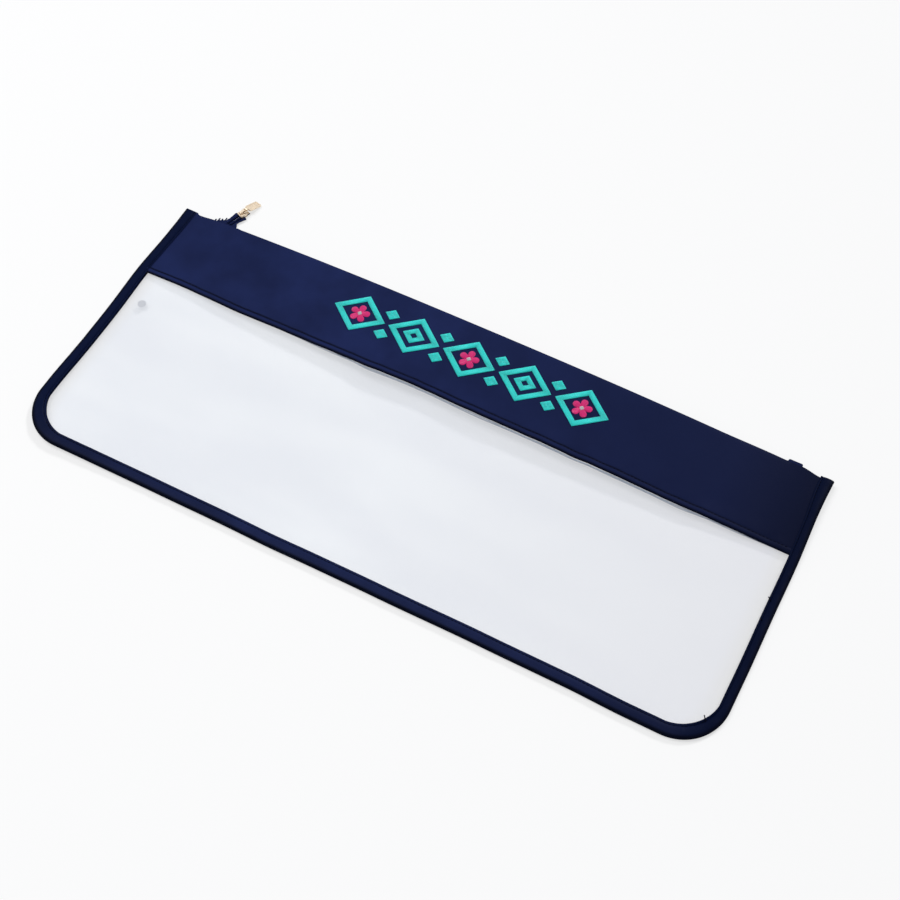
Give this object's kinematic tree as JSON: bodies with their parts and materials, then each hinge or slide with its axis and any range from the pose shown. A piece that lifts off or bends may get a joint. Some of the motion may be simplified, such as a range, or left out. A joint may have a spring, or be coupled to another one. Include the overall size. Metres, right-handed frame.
{
  "type": "tile game storage bag",
  "caption": "Long flat zipped bag for a tile game: clear windows, navy cloth bands across the open mouth, bound edges and a gold zip slider on a short tail.",
  "frame": {"origin": "middle of the back, on the flat face that lies on the table", "axes": "+X along the bag, +Y to its mouth, +Z out of its front"},
  "size_m": [0.584, 0.2862, 0.011],
  "materials": {
    "clear_window": "glossy",
    "band_cloth": "satin",
    "binding_tape": "satin",
    "zip_tape": "satin",
    "zip_coil": "satin",
    "gold_metal": "satin"
  },
  "bodies": {
    "bag": {"back_window": "clear_window", "front_window": "clear_window", "back_band": "band_cloth", "front_band": "band_cloth", "edge_binding": "binding_tape", "zipper_tape_front": "zip_tape", "zipper_tape_back": "zip_tape", "zipper_coil_front": "zip_coil", "zipper_coil_back": "zip_coil", "zipper_top_stop_front": "gold_metal", "zipper_top_stop_back": "gold_metal"},
    "zip_tail": {"tail_tape_left": "zip_tape", "tail_tape_right": "zip_tape", "tail_coil_left": "zip_coil", "tail_coil_right": "zip_coil", "zipper_bottom_stop": "gold_metal"},
    "slider": {"slider_body": "gold_metal", "slider_bridge": "gold_metal"},
    "link": {"pull_link": "gold_metal"},
    "tab": {"pull_tab": "gold_metal"}
  },
  "joints": [
    {"name": "tail_fold", "type": "hinge", "parent": "bag", "child": "zip_tail", "pos_m": [-0.2532, 0.1258, 0.00135], "axis": [1, 0, 0], "range_deg": [-60, 55], "stiffness_Nm_per_rad": 0.0005},
    {"name": "slider_travel", "type": "slide", "parent": "zip_tail", "child": "slider", "axis": [-0.342, -0.9397, 0], "range_m": [0, 0.0055]},
    {"name": "link_swing", "type": "hinge", "parent": "slider", "child": "link", "pos_m": [-0.24677, 0.14347, 0.00495], "axis": [0.9659, -0.2588, 0], "range_deg": [0, 120]},
    {"name": "tab_swing", "type": "hinge", "parent": "link", "child": "tab", "pos_m": [-0.24589, 0.14675, 0.0048], "axis": [0.9659, -0.2588, 0], "range_deg": [0, 50]}
  ]
}
